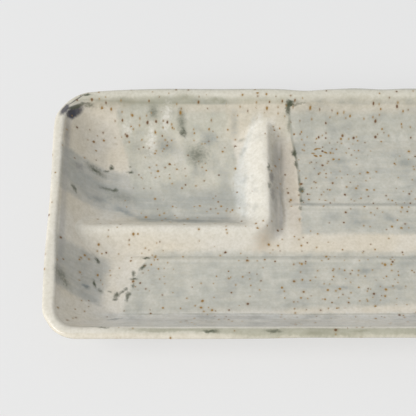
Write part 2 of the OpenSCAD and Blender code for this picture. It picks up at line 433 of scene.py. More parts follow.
# film on a rib, with painted shade on its back slope and a painted highlight on its crest: places and half
# widths across it, then strengths
RIB_CREST_HALF = 0.45
RIB_POOL = -0.62
RIB_SLOPE_END = 1.1
RIB_SLOPE_FOOT = 0.2
RIB_CREST_HIGHLIGHT = 0.22
RIB_POOL_FILM = 0.14
FOOT_W = 6.0 * MM
FOOT_EDGE = 1.0 * MM
FOOT_CORNER = 11.0 * MM


def wall_heights(sizes):
    """Floor height, height of the lip's foot and the rise between them."""
    floor_z = WALL_LOW[2]
    lip_z = WALL_HIGH[2] - sizes.lip_h
    return floor_z, lip_z, lip_z - floor_z


def lip_inner_corner(sizes):
    """Corner radius along the lip's inner edge: the rim's, less the mean width of the lip."""
    return sizes.lip_corner - (sizes.lip_w + sizes.side_lip_w) / 2.0


def wall_section(sizes):
    """The wall's closed section, as rows.

    They are end inset, side inset, corner radius, height, film, outer mark and swell. Up the inside, height
    grows as a power of the run. The lip's outer half is a superellipse. Its inner half falls as a power of
    the distance from its crest, so it runs into the wall, and swell is what a superellipse would add to
    that. Down the outside, height is again a power of the run, and the last row is buried in the floor.
    """
    floor_z, lip_z, rise = wall_heights(sizes)
    outer_end, outer_side = WALL_HIGH[0] - SLAB_HIGH[0], WALL_HIGH[1] - SLAB_HIGH[1]
    lip_inner = lip_inner_corner(sizes)
    t = np.linspace(0.0, 1.0, INNER_LINES + 1)[:-1] ** INNER_CROWD
    none = np.zeros_like(t)
    inner = [
        sizes.lip_w + sizes.end_run * (1.0 - t),
        sizes.side_lip_w + sizes.side_run * (1.0 - t),
        sizes.floor_corner + (lip_inner - sizes.floor_corner) * t,
        floor_z + rise * t**WALL_HOLLOW,
        none,
        none,
        none,
    ]
    u = np.linspace(1.0, 0.0, LIP_LINES + 1)[:-1]
    a = np.linspace(QUARTER, 2.0 * QUARTER, LIP_LINES + 1)
    part = np.concatenate([1.0 + u, 1.0 - np.abs(np.cos(a)) ** (2.0 / LIP_SQUARE)]) / 2.0
    roll = np.concatenate([1.0 - u**LIP_FALL, np.abs(np.sin(a)) ** (2.0 / LIP_SQUARE)])
    inner_swell = (1.0 - u**LIP_INNER) ** (1.0 / LIP_INNER) - 1.0 + u**LIP_FALL
    lip = [
        sizes.lip_w * part,
        sizes.side_lip_w * part,
        sizes.lip_corner + (lip_inner - sizes.lip_corner) * part,
        lip_z + sizes.lip_h * roll,
        -roll,
        np.zeros_like(roll),
        sizes.lip_h * np.concatenate([inner_swell, np.zeros_like(a)]),
    ]
    t = np.linspace(1.0, 0.0, OUTER_LINES + 1)[1:]
    none = np.zeros_like(t)
    outer = [
        outer_end * (1.0 - t),
        outer_side * (1.0 - t),
        sizes.slab_corner + (sizes.lip_corner - sizes.slab_corner) * t,
        floor_z + rise * t**WALL_FLARE,
        none,
        smooth(1.0 - t, 0.0, OUTER_FROM),
        none,
    ]
    foot = [[column[0]] for column in inner]
    foot[3] = [floor_z - BURIED]
    return [np.concatenate(parts) for parts in zip(inner, lip, outer, foot)]


class PLATE_OT_wall_band(bpy.types.Operator):
    """Makes the flared wall with its rolled lip"""

    bl_idname = "plate.wall_band"
    bl_label = "Wall band"

    def execute(self, context):
        sizes = context.scene.plate_sizes
        end, side, radius, z, film, outer, swell = wall_section(sizes)
        points = outline(WALL_HIGH[0] - end, WALL_HIGH[1] - side, radius, z)
        points[..., 2] += swell[:, None] * (1.0 - smooth(np.abs(points[..., 1]), *SWELL_END))
        points = hand_made(points, sizes)
        rows, columns = points.shape[:2]
        quads = grid_faces(rows, columns, True, True)
        film, outer = (np.repeat(values, columns) for values in (film, outer))
        piece = new_piece(
            "wall_band_glazed", "wall_band", points.reshape(-1, 3), quads,
            NO_TRIANGLES, film, outer, columns, (0, rows - 2),
        )
        piece.data.materials.append(brushed_glaze())
        return {"FINISHED"}


class PLATE_OT_floor_slab(bpy.types.Operator):
    """Makes the floor with its drawn-in edge and its underside"""

    bl_idname = "plate.floor_slab"
    bl_label = "Floor slab"

    def execute(self, context):
        sizes = context.scene.plate_sizes
        points, film, outer = self.level_lines(sizes)
        rows, columns = points.shape[:2]
        flat_points = np.concatenate([points.reshape(-1, 3), points[[0, -1]].mean(axis=1)])
        quads = grid_faces(rows, columns, False, True)
        first, last = np.arange(columns), (rows - 1) * columns + np.arange(columns)
        centre = rows * columns
        triangles = np.concatenate([fan(first, centre), fan(last, centre + 1)[:, ::-1]])
        film, outer = (np.append(np.repeat(v, columns), [v[0], v[-1]]) for v in (film, outer))
        piece = new_piece(
            "floor_slab_glazed", "floor_slab", flat_points, quads,
            triangles, film, outer, columns, (TOP_LINES - 1,),
        )
        piece.data.materials.append(brushed_glaze())
        return {"FINISHED"}

    def level_lines(self, sizes):
        """Rounded rectangles that grow from the middle of the top to the slab's outline, follow its edge
        down while height falls as a power of the inset, and shrink to the middle of the underside."""
        half_l, half_d, corner = SLAB_HIGH[0], SLAB_HIGH[1], sizes.slab_corner
        grow = np.linspace(SLAB_EYE, 1.0, TOP_LINES)
        drawn = np.linspace(0.0, 1.0, EDGE_LINES + 1)[1:]
        shrink = np.linspace(1.0, SLAB_EYE, UNDER_LINES + 1)[1:]
        under_l, under_d = half_l - sizes.slab_draw, half_d - sizes.slab_draw
        run = np.concatenate([half_l * grow, half_l - sizes.slab_draw * drawn, under_l * shrink])
        depth = np.concatenate([half_d * grow, half_d - sizes.slab_draw * drawn, under_d * shrink])
        radius = np.concatenate([corner * grow, np.full(len(drawn), corner), corner * shrink])
        top, low = SLAB_HIGH[2], SLAB_LOW[2]
        edge = low + (top - low) * (1.0 - drawn) ** SLAB_ROUND
        z = np.concatenate([np.full(len(grow), top), edge, np.full(len(shrink), low)])
        outer = np.concatenate([np.zeros(len(grow) - 1), np.ones(1 + len(drawn) + len(shrink))])
        return hand_made(outline(run, depth, radius, z), sizes), np.zeros_like(z), outer


class PLATE_OT_sauce_divider(bpy.types.Operator):
    """Makes the L-shaped ridge round the sauce well"""

    bl_idname = "plate.sauce_divider"
    bl_label = "Sauce divider"

    def execute(self, context):
        sizes = context.scene.plate_sizes
        v, points = skirted(*self.level_lines(sizes))
        points = hand_made(points, sizes)
        rows, columns = points.shape[:2]
        film = np.repeat(-RIDGE_THIN_AND_HIGHLIGHT * bell(v) ** 2, columns)
        piece = new_piece(
            "sauce_divider_glazed", "sauce_divider", points.reshape(-1, 3), tube_faces(rows, columns),
            NO_TRIANGLES, film, np.zeros_like(film), columns, (1, rows - 2),
        )
        piece.data.materials.append(brushed_glaze())
        return {"FINISHED"}

    def level_lines(self, sizes):
        """Level lines of the ridge, from its outer foot (-1) over its crest to its foot in the well (1).

        Each runs from the left wall along the long arm, round a quarter circle and along the short arm to
        the back wall. Towards a wall its foot spreads as a quarter circle does, and it runs into the wall's
        own height with a round in the corner.
        """
        floor_z, _, rise = wall_heights(sizes)
        short_x = RIDGE_HIGH[0] - sizes.ridge_right - sizes.join_spread
        long_y = RIDGE_LOW[1] + sizes.ridge_front + sizes.join_spread
        crest_h = RIDGE_HIGH[2] - floor_z - sizes.join_rise
        v = np.linspace(-1.0, 1.0, RIDGE_LINES)[:, None]
        h, climb = crest_h * slope_height(v), sizes.join_rise * slope_height(v)
        x = short_x - v * np.where(v < 0, sizes.ridge_right, sizes.well_right)
        y = long_y + v * np.where(v < 0, sizes.ridge_front, sizes.well_front)
        r = sizes.crest_corner - np.minimum(v, 0.0) * (sizes.heel_corner - sizes.crest_corner)
        run = ((h + climb) / rise) ** (1.0 / WALL_HOLLOW)
        left = sizes.lip_w + sizes.end_run * (1.0 - run) - WALL_HIGH[0]
        back = WALL_HIGH[1] - sizes.side_lip_w - sizes.side_run * (1.0 - run)
        w = np.linspace(JOIN_REACH, 0.0, JOIN_STEPS)[None, :]
        spread = v * sizes.join_spread * (1.0 - np.sqrt(1.0 - np.minimum(w, 1.0) ** 2))
        sunk = RIDGE_SUNK * smooth(w, *RIDGE_SUNK_SPAN)
        in_left, in_back = left + sizes.join_l * (1.0 - w), back - sizes.join_l * (1.0 - w)
        left_t = (sizes.lip_w + sizes.end_run - WALL_HIGH[0] - in_left) / sizes.end_run
        back_t = (in_back - WALL_HIGH[1] + sizes.side_lip_w + sizes.side_run) / sizes.side_run
        wall_h = (rise * np.clip(t, 0.0, 1.0) ** WALL_HOLLOW for t in (left_t, back_t))
        left_h, back_h = (self.blended(h, wall) for wall in wall_h)
        glide = np.linspace(0.0, 1.0, LONG_ARM_STEPS + 2)[None, 1:-1]
        short_glide = np.linspace(0.0, 1.0, SHORT_ARM_STEPS + 2)[None, 1:-1]
        turn = np.linspace(-QUARTER, 0.0, BEND_STEPS)[None, :]
        near_left, near_back = left + sizes.join_l, back - sizes.join_l
        stretches = [
            (in_left, y + spread, left_h - sunk),
            (near_left + (x - r - near_left) * glide, y, h),
            (x - r + r * np.cos(turn), y + r + r * np.sin(turn), h),
            (x, y + r + (near_back - y - r) * short_glide, h),
            ((x - spread)[:, ::-1], in_back[:, ::-1], (back_h - sunk)[:, ::-1]),
        ]
        lines = np.concatenate([np.stack(np.broadcast_arrays(*s), axis=-1) for s in stretches], axis=1)
        lines[..., 2] += floor_z
        return v[:, 0], lines

    def blended(self, own, wall):
        """The greater of two heights. Within a share of the ridge's own height of each other, the cube of
        what is left of that share is added, so the corner between them is a smooth hollow."""
        reach = np.maximum(JOIN_ROUND * own, 1e-9)
        lap = np.maximum(reach - np.abs(own - wall), 0.0)
        return np.maximum(own, wall) + lap**3 / (6.0 * reach**2)


class PLATE_OT_floor_ribs(bpy.types.Operator):
    """Makes the two low ribs on the floor"""

    bl_idname = "plate.floor_ribs"
    bl_label = "Floor ribs"

    def execute(self, context):
        sizes = context.scene.plate_sizes
        self.rib("front_rib", sizes, drawn=0.35, gathered_and_shade=0.18, gathered_and_shade_at=0.75)
        self.rib("back_rib", sizes, drawn=0.24, gathered_and_shade=0.42, gathered_and_shade_at=0.50)
        return {"FINISHED"}

    def rib(self, node, sizes, drawn, gathered_and_shade, gathered_and_shade_at):
        """A low ridge along X: a power of a bell across it, drawn to the back, times a taper at its ends.

        Glaze gathers before its front foot. The back slope darkens as gathered glaze and painted shade, and
        the crest pales as a painted highlight, each as a bell.
        """
        low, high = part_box(node)
        middle, half = (low[1] + high[1]) / 2.0, (high[1] - low[1]) / 2.0
        v = np.linspace(-1.0, 1.0, RIB_LINES)[:, None]
        x = np.linspace(low[0], high[0], RIB_STEPS)[None, :]
        taper = smooth(np.minimum(x - low[0], high[0] - x), *RIB_TAPER)
        y = middle + half * (np.where(v < 0, RIB_FRONT, RIB_BACK) * v + drawn)
        sunk = RIB_SUNK * (1.0 - smooth(taper, 0.0, RIB_SUNK_TAPER))
        z = SLAB_HIGH[2] + (high[2] - low[2]) * bell(v) ** RIB_ROUND * taper - sunk
        across, lines = skirted(v[:, 0], np.stack(np.broadcast_arrays(x, y, z), axis=-1))
        points = hand_made(lines, sizes)
        rows, columns = points.shape[:2]
        slope = swelling(across, gathered_and_shade_at, RIB_SLOPE_END - gathered_and_shade_at)
        slope = slope * smooth(1.0 - across, 0.0, RIB_SLOPE_FOOT)
        pool = swelling(across, RIB_POOL, 1.0 + RIB_POOL)
        crest = swelling(across, 0.0, RIB_CREST_HALF)
        # the back slope's darkening is gathered glaze and painted shade, the crest's paling a painted
        # highlight
        film = gathered_and_shade * slope + RIB_POOL_FILM * pool - RIB_CREST_HIGHLIGHT * crest
        film = (film[:, None] * taper).ravel()
        piece = new_piece(
            node + "_glazed", node, points.reshape(-1, 3), tube_faces(rows, columns),
            NO_TRIANGLES, film, np.zeros_like(film), columns, (1, rows - 2),
        )
        piece.data.materials.append(brushed_glaze())


class PLATE_OT_foot_ring(bpy.types.Operator):
    """Makes the bare foot ring"""

    bl_idname = "plate.foot_ring"
    bl_label = "Foot ring"

    def execute(self, context):
        points, film = self.level_lines()
        rows, columns = points.shape[:2]
        quads = grid_faces(rows, columns, True, True)
        film = np.repeat(film, columns)
        piece = new_piece(
            "foot_ring_bare", "foot_ring", points.reshape(-1, 3), quads,
            NO_TRIANGLES, film, np.ones_like(film), columns, (),
        )
        piece.data.materials.append(raw_clay())
        return {"FINISHED"}

    def level_lines(self):
        """A closed section carried round the foot's outline: two upright sides, a flat sole and
        quarter-round edges between them."""
        top, low = FOOT_HIGH[2] + BURIED, FOOT_LOW[2]
        a = np.linspace(0.0, QUARTER, FOOT_EDGE_LINES)
        edge_in, edge_z = FOOT_EDGE * (1.0 - np.cos(a)), low + FOOT_EDGE * (1.0 - np.sin(a))
        sole = np.linspace(FOOT_EDGE, FOOT_W - FOOT_EDGE, SOLE_LINES + 2)[1:-1]
        inset = np.concatenate([[0.0], edge_in, sole, FOOT_W - edge_in[::-1], [FOOT_W]])
        z = np.concatenate([[top], edge_z, np.full(SOLE_LINES, low), edge_z[::-1], [top]])
        film = smooth(z, low, low + FOOT_EDGE)
        radius = np.maximum(FOOT_CORNER - inset, FOOT_EDGE)
        return outline(FOOT_HIGH[0] - inset, FOOT_HIGH[1] - inset, radius, z), film


class Nodes:
    """Adds shader nodes to one material. Apart from feed, a method gives back output sockets."""

    def __init__(self, material):
        material.use_nodes = True
        self.tree = material.node_tree
        self.shader = next(n for n in self.tree.nodes if n.type == "BSDF_PRINCIPLED")

    def add(self, kind, inputs, output=0, **settings):
        node = self.tree.nodes.new(kind)
        for name, value in settings.items():
            setattr(node, name, value)
        for name, value in inputs.items():
            self.feed(node.inputs[name], value)
        return node.outputs[output]

    def feed(self, socket, value):
        """Links a socket to an input, or sets the input to a number or a colour."""
        if isinstance(value, bpy.types.NodeSocket):
            self.tree.links.new(value, socket)
        elif socket.type == "RGBA":
            socket.default_value = (*value[:3], 1.0)
        else:
            socket.default_value = value

    def finish(self, **inputs):
        """Feeds the shader, with an underscore for each space of an input's name."""
        for name, value in inputs.items():
            self.feed(self.shader.inputs[name.replace("_", " ")], value)

    def math(self, operation, *values):
        return self.add("ShaderNodeMath", dict(enumerate(values)), operation=operation)

    def vector(self, operation, *values, output=0):
        return self.add("ShaderNodeVectorMath", dict(enumerate(values)), output, operation=operation)

    def scaled(self, vector, factor):
        return self.add("ShaderNodeVectorMath", {0: vector, "Scale": factor}, operation="SCALE")

    def step(self, value, low, high, start=0.0, end=1.0):
        """start below low, end above high, and a smooth cubic between."""
        inputs = {"Value": value, "From Min": low, "From Max": high, "To Min": start, "To Max": end}
        return self.add("ShaderNodeMapRange", inputs, interpolation_type="SMOOTHSTEP")

    def fall(self, value, low, high, end=0.0):
        """1 below low, end above high, and a smooth cubic between."""
        return self.step(value, low, high, 1.0, end)

    def window(self, value, rise, fall):
        """A soft step up over the first span times a soft step down over the second."""
        return self.both(self.step(value, *rise), self.fall(value, *fall))

    def mix(self, factor, first, second, blend="MIX"):
        inputs = {0: factor, 6: first, 7: second}
        return self.add("ShaderNodeMix", inputs, 2, data_type="RGBA", blend_type=blend)

    def noise(self, place, scale=1.0, detail=2.0, output=0):
        inputs = {"Vector": place, "Scale": scale, "Detail": detail, "Roughness": 0.55}
        return self.add("ShaderNodeTexNoise", inputs, output)

    def attribute(self, name):
        return self.add("ShaderNodeAttribute", {}, "Fac", attribute_name=name)

    def bump(self, height, strength, distance):
        inputs = {"Height": height, "Strength": strength, "Distance": distance}
        return self.add("ShaderNodeBump", inputs, "Normal")

    def join(self, x, y, z):
        return self.add("ShaderNodeCombineXYZ", {0: x, 1: y, 2: z})

    def plan(self, place):
        """The place along X and along Y."""
        x, y, _ = self.add("ShaderNodeSeparateXYZ", {0: place}).node.outputs
        return x, y

    def both(self, *values):
        """The product of all values."""
        product = values[0]
        for value in values[1:]:
            product = self.math("MULTIPLY", product, value)
        return product


class Stroke(NamedTuple):
    """One brush stroke over the plate, in millimetres as seen from above."""

    start: tuple  # middle of the start edge
    end: tuple
    width: float
    tone: str  # name of its colour
    load: float  # how far it covers
    dry: float  # how far its streaks open
    soft: float = 1.5  # softness of its sides
    lead: float = 0.8  # softness of its start
    fade: float = 6.0  # softness of its end
    slant: float = 0.0  # how the start edge leans
    bow: float = 0.0  # how the start edge curves
    bead: float = 0.0  # dark slip left along the start edge
    flare: float = 0.0  # how its half width grows along it


STROKES = (
    # wash along the back wall
    Stroke((-80.0, 59.5), (130.0, 59.5), 17.0, "olive", 0.55, 0.22, 4.0, 12.0),
    # field right of the ridge
    Stroke((3.8, 29.5), (130.0, 29.5), 70.0, "slip_grey", 0.94, 0.26, 1.6, 0.9, 6.0, -0.08, -0.0023, 0.72),
    # thin glaze along the top of the back wall, also painted light that lifts the shade under the back lip
    Stroke((4.0, 62.5), (130.0, 62.5), 6.0, "cream_warm", 0.60, 0.25, 2.0, 3.0),
    # strip in front of the ridge
    Stroke(
        (-79.0, -33.2), (130.0, -28.6), 34.6, "slip_grey", 0.94, 0.26, 2.4, 1.8,
        slant=0.45, bow=0.01, flare=-0.024,
    ),
    # inner face of the front wall
    Stroke((-90.0, -57.0), (130.0, -57.0), 15.5, "mist", 0.94, 0.36, 1.5, 12.0),
    Stroke((-84.0, -57.0), (130.0, -57.0), 14.0, "lilac", 0.34, 0.44, 1.5, 14.0),
    # two strokes down the left wall
    Stroke((-119.0, -27.0), (-92.0, -32.2), 26.0, "slip_deep", 0.69, 0.22, 1.7, 1.0, 3.0),
    Stroke((-119.0, 25.5), (-79.0, 16.5), 23.5, "slip_deep", 0.78, 0.26, 1.9, 1.0, 8.0),
    # well, from its back slope to its floor
    Stroke((-61.5, 66.0), (-49.0, 3.0), 55.0, "sage", 0.85, 0.25, 1.5, 1.0, 5.0),
    Stroke((-92.0, 12.4), (-27.0, 10.4), 19.0, "slip_deep", 0.78, 0.30, 5.0, 9.0, 7.0),
    # bare cream over the back end of the short arm, then its slopes: on the left slope a painted highlight
    # in frost and white, the lamp's reflection; on the right slope lilac streaks with painted shade, and
    # thin moss lines
    Stroke((-33.0, 56.5), (-2.5, 56.5), 13.0, "cream_warm", 0.72, 0.20, 2.0, 3.0, 1.5),
    Stroke((-18.5, 58.0), (-22.5, 24.0), 3.0, "frost", 0.85, 0.15, 1.6, 3.0, 2.0, flare=0.19),
    Stroke((-22.5, 26.0), (-20.5, 2.5), 16.0, "frost", 0.85, 0.15, 1.6, 2.0, 3.0, flare=-0.09),
    Stroke((-15.3, 59.5), (-18.3, 36.0), 2.4, "white", 0.95, 0.08, 1.2, 3.0, 2.0, flare=0.20),
    Stroke((-17.5, 38.5), (-17.9, -1.0), 10.4, "white", 0.95, 0.08, 1.3, 2.0, 7.0),
    Stroke((-8.0, -5.0), (-8.0, 47.0), 8.6, "lilac", 0.74, 0.55, 2.0, 6.0, 8.0),
    Stroke((-4.7, 0.0), (-4.7, 46.0), 1.0, "moss", 0.46, 0.36, 0.7, 6.0, 8.0),
    Stroke((-8.6, 6.0), (-8.9, 40.0), 0.8, "moss", 0.44, 0.36, 0.6, 6.0, 6.0),
    # glaze gathered along the front of the well, with painted shade on the long arm's slope that faces the
    # well
    Stroke((-78.0, 2.5), (-22.0, 0.3), 4.4, "pool", 0.76, 0.46, 2.0, 8.0, 9.0),
    # warm grey darkening between the short arm and the field
    Stroke((-1.5, 46.0), (1.8, -8.0), 6.5, "clay", 0.25, 0.06, 1.6, 6.0, 8.0),
    Stroke((-1.5, 46.0), (1.8, -8.0), 6.5, "lilac", 0.18, 0.06, 1.6, 6.0, 8.0),
    # warm line along the foot of the short arm, and the pale crest of the long arm, a painted highlight
    Stroke((-4.3, -2.0), (-4.9, 46.0), 1.4, "rust", 0.18, 0.08, 0.7, 6.0, 8.0),
    Stroke((-106.0, -6.1), (-18.0, -6.1), 4.5, "white", 0.46, 0.08, 1.6, 8.0, 6.0),
)


class Spot(NamedTuple):
    """One mark of slip, in millimetres as seen from above."""

    place: tuple
    reach: tuple  # half lengths along and across
    angle: float  # degrees from +X
    tone: str
    strength: float
    core: float = 0.35  # part of the reach that is evenly dark


SPOTS = (
    # back left corner
    Spot((-110.1, 57.0), (4.9, 1.5), 40.0, "ink", 0.92, 0.60),
    Spot((-111.7, 55.7), (2.6, 1.6), 60.0, "ink", 0.92, 0.60),
    Spot((-110.0, 58.9), (4.6, 0.6), 30.0, "bead", 0.80, 0.60),
    Spot((-103.8, 61.1), (3.6, 0.6), 0.0, "bead", 0.65),
    Spot((-115.0, 56.5), (3.9, 1.5), 60.0, "ink", 0.88, 0.60),
    Spot((-109.2, 62.5), (5.0, 0.4), 40.0, "ink", 0.70, 0.60),
    Spot((-104.3, 65.5), (2.8, 0.9), 0.0, "bead", 0.95),
    # back lip
    Spot((-85.0, 63.0), (6.0, 1.4), 0.0, "moss", 0.55, 0.0),
    Spot((-53.8, 64.6), (3.4, 1.3), 0.0, "moss", 0.55, 0.0),
    Spot((-38.3, 63.9), (2.8, 1.2), 0.0, "moss", 0.55, 0.1),
    Spot((-34.4, 63.3), (2.4, 0.7), 0.0, "moss", 0.60, 0.1),
    # smudges on the well's back slope and floor, then pale streaks that are painted highlights, glints of
    # the glaze in the finger dimples
    Spot((-70.4, 59.9), (3.0, 2.6), 0.0, "bead", 0.70, 0.0),
    Spot((-55.8, 56.4), (2.6, 5.0), 0.0, "bead", 0.66, 0.0),
    Spot((-55.0, 52.7), (2.0, 2.0), 0.0, "bead", 0.90, 0.1),
    Spot((-63.9, 46.0), (6.0, 6.5), 0.0, "pool", 0.56, 0.0),
    Spot((-48.0, 40.6), (7.0, 7.0), 0.0, "bead", 0.72, 0.0),
    Spot((-41.7, 49.7), (4.5, 3.5), 15.0, "pool", 0.58, 0.0),
    Spot((-28.6, 55.3), (2.5, 6.0), 0.0, "pool", 0.42, 0.0),
    Spot((-24.9, 48.8), (2.2, 1.2), 15.0, "bead", 0.45, 0.0),
    Spot((-33.5, 24.0), (3.0, 9.0), 0.0, "slip_deep", 0.55, 0.0),
    Spot((-63.7, 57.7), (2.4, 5.0), -15.0, "white", 0.90, 0.15),
    Spot((-71.4, 48.6), (2.8, 7.5), 0.0, "white", 0.90, 0.15),
    Spot((-84.0, 53.9), (2.4, 2.6), 0.0, "white", 0.80, 0.1),
    Spot((-56.4, 39.5), (4.0, 7.0), 0.0, "white", 0.50, 0.0),
    # dashes along the stroke on the well's left slope
    Spot((-99.4, 30.0), (5.0, 2.0), -30.0, "bead", 0.85, 0.1),
    Spot((-91.6, 33.0), (1.3, 1.6), 0.0, "bead", 0.95),
    Spot((-93.9, 30.7), (1.4, 0.8), 15.0, "bead", 0.65),
    Spot((-81.9, 30.6), (1.5, 0.9), 0.0, "bead", 0.85),
    Spot((-82.0, 33.9), (0.9, 0.9), 0.0, "bead", 0.65),
    Spot((-93.0, 20.2), (4.6, 1.2), -15.0, "bead", 0.66, 0.2),
    Spot((-89.0, 19.6), (1.5, 1.3), 30.0, "bead", 0.70),
    Spot((-108.7, 14.8), (2.4, 0.9), -60.0, "bead", 0.75),
    Spot((-107.1, 28.5), (2.8, 2.8), 0.0, "ink", 0.42, 0.0),
    Spot((-98.0, 13.7), (7.0, 2.4), 0.0, "pool", 0.48, 0.0),
    Spot((-83.2, 6.7), (9.5, 1.6), -30.0, "pool", 0.60, 0.0),
    Spot((-86.0, 15.4), (9.0, 4.0), -15.0, "bead", 0.42, 0.0),
    # painted shade: the dark band under the left lip's inner edge
    Spot((-113.4, 43.5), (1.5, 10.0), 0.0, "ink", 0.36, 0.0),
    # left wall in front of the ridge
    Spot((-112.6, -35.2), (2.8, 4.6), 15.0, "bead", 0.66, 0.0),
    Spot((-110.3, -38.0), (2.0, 2.4), 0.0, "bead", 0.55, 0.0),
    Spot((-96.4, -21.1), (2.1, 0.9), -60.0, "bead", 0.95),
    Spot((-97.3, -34.0), (2.3, 0.9), -75.0, "bead", 0.95),
    Spot((-101.0, -36.3), (1.8, 1.2), -15.0, "pool", 0.70),
    Spot((-94.3, -37.2), (1.7, 1.1), -30.0, "bead", 0.55),
    # dabs where the front strip starts
    Spot((-72.7, -19.3), (2.1, 0.8), 0.0, "bead", 0.90),
    Spot((-74.4, -24.2), (2.3, 1.0), 45.0, "bead", 0.90),
    Spot((-78.6, -27.8), (0.9, 1.7), 0.0, "bead", 0.80),
    Spot((-78.4, -30.7), (2.2, 0.9), 0.0, "bead", 0.85),
    Spot((-78.5, -34.3), (0.8, 1.3), 0.0, "bead", 0.70),
    Spot((-80.9, -38.6), (1.4, 1.3), 0.0, "bead", 0.80),
    Spot((-81.3, -40.9), (0.9, 2.1), 0.0, "bead", 0.80),
    Spot((-82.2, -36.0), (1.1, 1.0), 0.0, "bead", 0.70),
    Spot((-83.9, -37.5), (1.4, 0.9), 30.0, "bead", 0.75),
    Spot((-86.3, -39.4), (1.6, 1.3), 30.0, "bead", 0.85),
    Spot((-87.3, -41.6), (1.5, 1.0), 15.0, "bead", 0.80),
    Spot((-89.8, -37.5), (1.1, 0.8), -30.0, "bead", 0.55),
    # dabs along the start of the field right of the ridge
    Spot((-0.2, 62.2), (2.0, 1.0), 0.0, "bead", 0.95, 0.4),
    Spot((3.0, 61.9), (6.0, 0.4), 0.0, "bead", 0.60, 0.1),
    Spot((-1.1, 61.0), (1.4, 1.9), 0.0, "bead", 0.85),
    Spot((-0.7, 54.9), (0.8, 2.3), 0.0, "bead", 0.40),
    Spot((2.0, 41.6), (1.4, 2.0), 0.0, "bead", 0.95, 0.4),
    Spot((2.7, 34.9), (0.9, 2.2), 15.0, "bead", 0.85),
    Spot((5.1, 19.8), (1.6, 2.0), 0.0, "bead", 0.90),
    Spot((5.0, 13.4), (1.1, 0.9), 0.0, "bead", 0.75),
    Spot((4.1, 8.7), (0.9, 1.1), 0.0, "bead", 0.60),
    Spot((3.4, 2.5), (0.8, 1.4), 0.0, "rust", 0.70),
    # heel of the ridge, a warm painted shadow, then the right slope of the short arm: painted light at its
    # top, and dark marks
    Spot((-14.9, -10.7), (6.0, 4.5), 45.0, "clay", 0.60, 0.0),
    Spot((-8.8, 53.0), (4.0, 4.4), 0.0, "white", 0.60, 0.0),
    Spot((-11.6, 29.5), (0.8, 2.3), 0.0, "bead", 0.75),
    Spot((-10.2, 24.3), (1.2, 4.2), 0.0, "ink", 0.50),
    Spot((-11.6, 18.4), (0.9, 1.9), 0.0, "bead", 0.60),
    Spot((-9.8, 15.1), (1.0, 4.2), 0.0, "ink", 0.38),
    # soft smudges right of the ridge and on the front strip
    Spot((25.4, 37.3), (5.0, 2.6), 0.0, "pool", 0.46, 0.0),
    Spot((59.0, 35.5), (4.5, 3.0), 0.0, "pool", 0.46, 0.0),
    Spot((33.3, 1.1), (6.0, 2.0), 0.0, "pool", 0.42, 0.0),
    Spot((49.2, 3.1), (4.0, 2.6), -30.0, "pool", 0.46, 0.0),
    Spot((34.7, -26.1), (5.0, 2.2), 0.0, "pool", 0.50, 0.0),
    Spot((23.4, -35.2), (5.5, 1.4), 0.0, "pool", 0.50, 0.0),
    Spot((48.2, -35.2), (6.5, 1.4), 0.0, "pool", 0.44, 0.0),
    # ring of iron right of the ridge
    Spot((13.2, 44.3), (1.1, 0.6), 30.0, "rust", 0.85, 0.60),
    Spot((15.0, 44.7), (1.0, 0.5), 0.0, "rust", 0.70, 0.60),
    Spot((16.6, 43.2), (0.6, 0.6), 0.0, "iron", 0.90, 0.60),
    Spot((18.3, 42.3), (1.0, 0.5), -30.0, "rust", 0.90, 0.60),
    Spot((15.6, 40.3), (0.7, 0.6), 0.0, "rust", 0.90, 0.60),
    Spot((13.0, 40.3), (1.2, 0.6), -30.0, "rust", 0.85, 0.60),
    Spot((11.8, 41.8), (1.0, 0.5), 0.0, "rust", 0.75, 0.60),
    # front wall and lip
    Spot((-86.6, -53.6), (3.6, 0.8), 15.0, "pool", 0.60),
    Spot((-90.7, -65.0), (2.8, 0.6), 0.0, "bead", 0.70),
    Spot((-95.0, -64.0), (8.0, 0.3), 0.0, "bead", 0.50, 0.60),
    Spot((-41.0, -67.0), (3.9, 0.9), 0.0, "bead", 0.85),
    Spot((-12.1, -67.0), (4.2, 0.9), 0.0, "bead", 0.75),
    Spot((7.2, -67.9), (7.5, 1.0), 0.0, "moss", 0.55, 0.0),
    Spot((28.1, -66.9), (5.5, 0.9), 0.0, "moss", 0.72, 0.0),
)


class Speck(NamedTuple):
    """One size of iron speck, in millimetres."""

    cell: float  # size of the cells that hold one speck at most
    least: float  # radius of the smallest
    most: float
    share: float  # part of the cells that hold one
    depth: float  # how far its core covers


GLAZE_SPECKS = (Speck(5.6, 0.44, 0.82, 0.24, 0.94), Speck(4.0, 0.34, 0.60, 0.22, 0.66))
CLAY_SPECK = Speck(3.0, 0.20, 0.55, 0.30, 0.80)


class Places(NamedTuple):
    """Points in millimetres and a grain, as sockets."""

    true: object  # as they are
    wet: object  # moved as a wet edge runs
    ragged: object  # moved by a slow hand too
    grain: object  # fine, mostly from -1 to 1


# how far a wet edge and a slow hand move a point, in millimetres
WET_SHIFT = 2.2
HAND_SHIFT = 3.0
MIDDLE_GREY = (0.5, 0.5, 0.5)

# a stroke's hairs and bands: how noise is drawn out along it, and how far apart two strokes lie in it
HAIR_DRAW = (0.05, 0.75, 0.0)
BAND_DRAW = (0.025, 0.17, 0.0)
HAIR_APART = 7.3
BAND_APART = 3.1
HAIR_SHARE = 0.6
BAND_SHARE = 1.2
GRAIN_SHARE = 0.06
HAIR_PULL = 5.0
SIDE_PULL = 0.3
BRISTLE_OPEN = (0.70, 1.10)

# the dark thread: its half width, and where it stops and weakens across the stroke
THREAD_HALF = (0.1, 1.1)
THREAD_SIDES = (-0.5, 3.0)
THREAD_FRONT = (-21.0, -15.0)
THREAD_BACK = (17.0, 23.0)
THREAD_WEAK = 0.6

